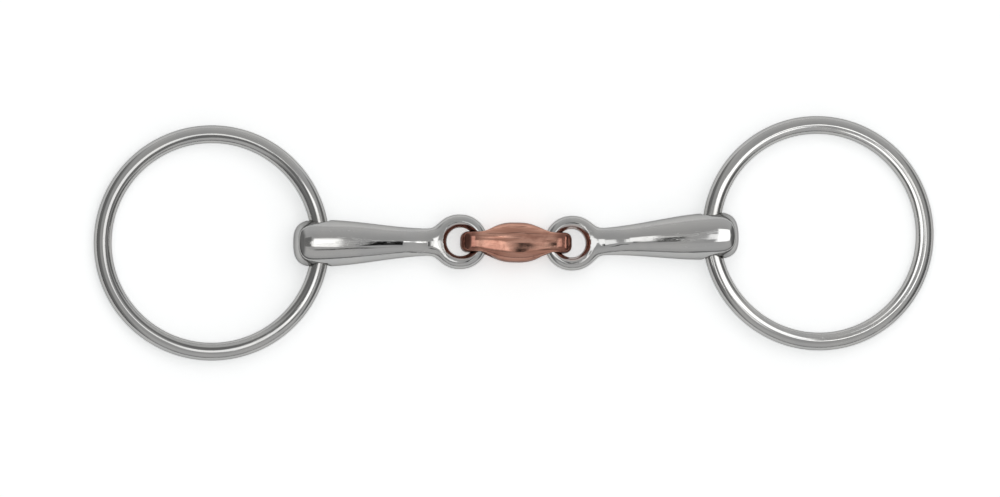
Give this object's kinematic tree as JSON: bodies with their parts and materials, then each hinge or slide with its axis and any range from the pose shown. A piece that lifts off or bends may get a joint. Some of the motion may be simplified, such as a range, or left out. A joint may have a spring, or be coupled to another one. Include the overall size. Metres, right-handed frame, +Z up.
{
  "type": "snaffle bit",
  "caption": "Loose ring snaffle bit: steel rings run through holes in two tapered steel arms, which fold on a copper centre link.",
  "frame": {"origin": "under the middle of the bit's box, on the surface it lies on", "axes": "+X along the mouthpiece towards the right ring, +Y along the holes that the rings run in, +Z up from the surface"},
  "size_m": [0.2818, 0.0844, 0.0157],
  "materials": {
    "steel": "mirror-polished stainless steel",
    "copper": "polished copper alloy, slightly toned"
  },
  "bodies": {
    "centre_link": {"centre_link": "copper"},
    "left_arm": {"left_arm": "steel"},
    "right_arm": {"right_arm": "steel"},
    "left_ring": {"left_ring": "steel"},
    "right_ring": {"right_ring": "steel"}
  },
  "joints": [
    {"name": "left_fold", "type": "hinge", "parent": "centre_link", "child": "left_arm", "pos_m": [-0.01164, -0.00159, 0.00695], "axis": [0, 1, 0], "range_deg": [-35, 35]},
    {"name": "right_fold", "type": "hinge", "parent": "centre_link", "child": "right_arm", "pos_m": [0.01176, -0.00159, 0.00695], "axis": [0, 1, 0], "range_deg": [-35, 35]},
    {"name": "left_ring_swing", "type": "hinge", "parent": "left_arm", "child": "left_ring", "pos_m": [-0.06585, -0.00275, 0.00785], "axis": [-0.0244, 0.9997, 0.0004], "range_deg": [-90, 90]},
    {"name": "right_ring_swing", "type": "hinge", "parent": "right_arm", "child": "right_ring", "pos_m": [0.06588, 0.00138, 0.00785], "axis": [-0.0628, 0.998, -0.001], "range_deg": [-90, 90]}
  ]
}
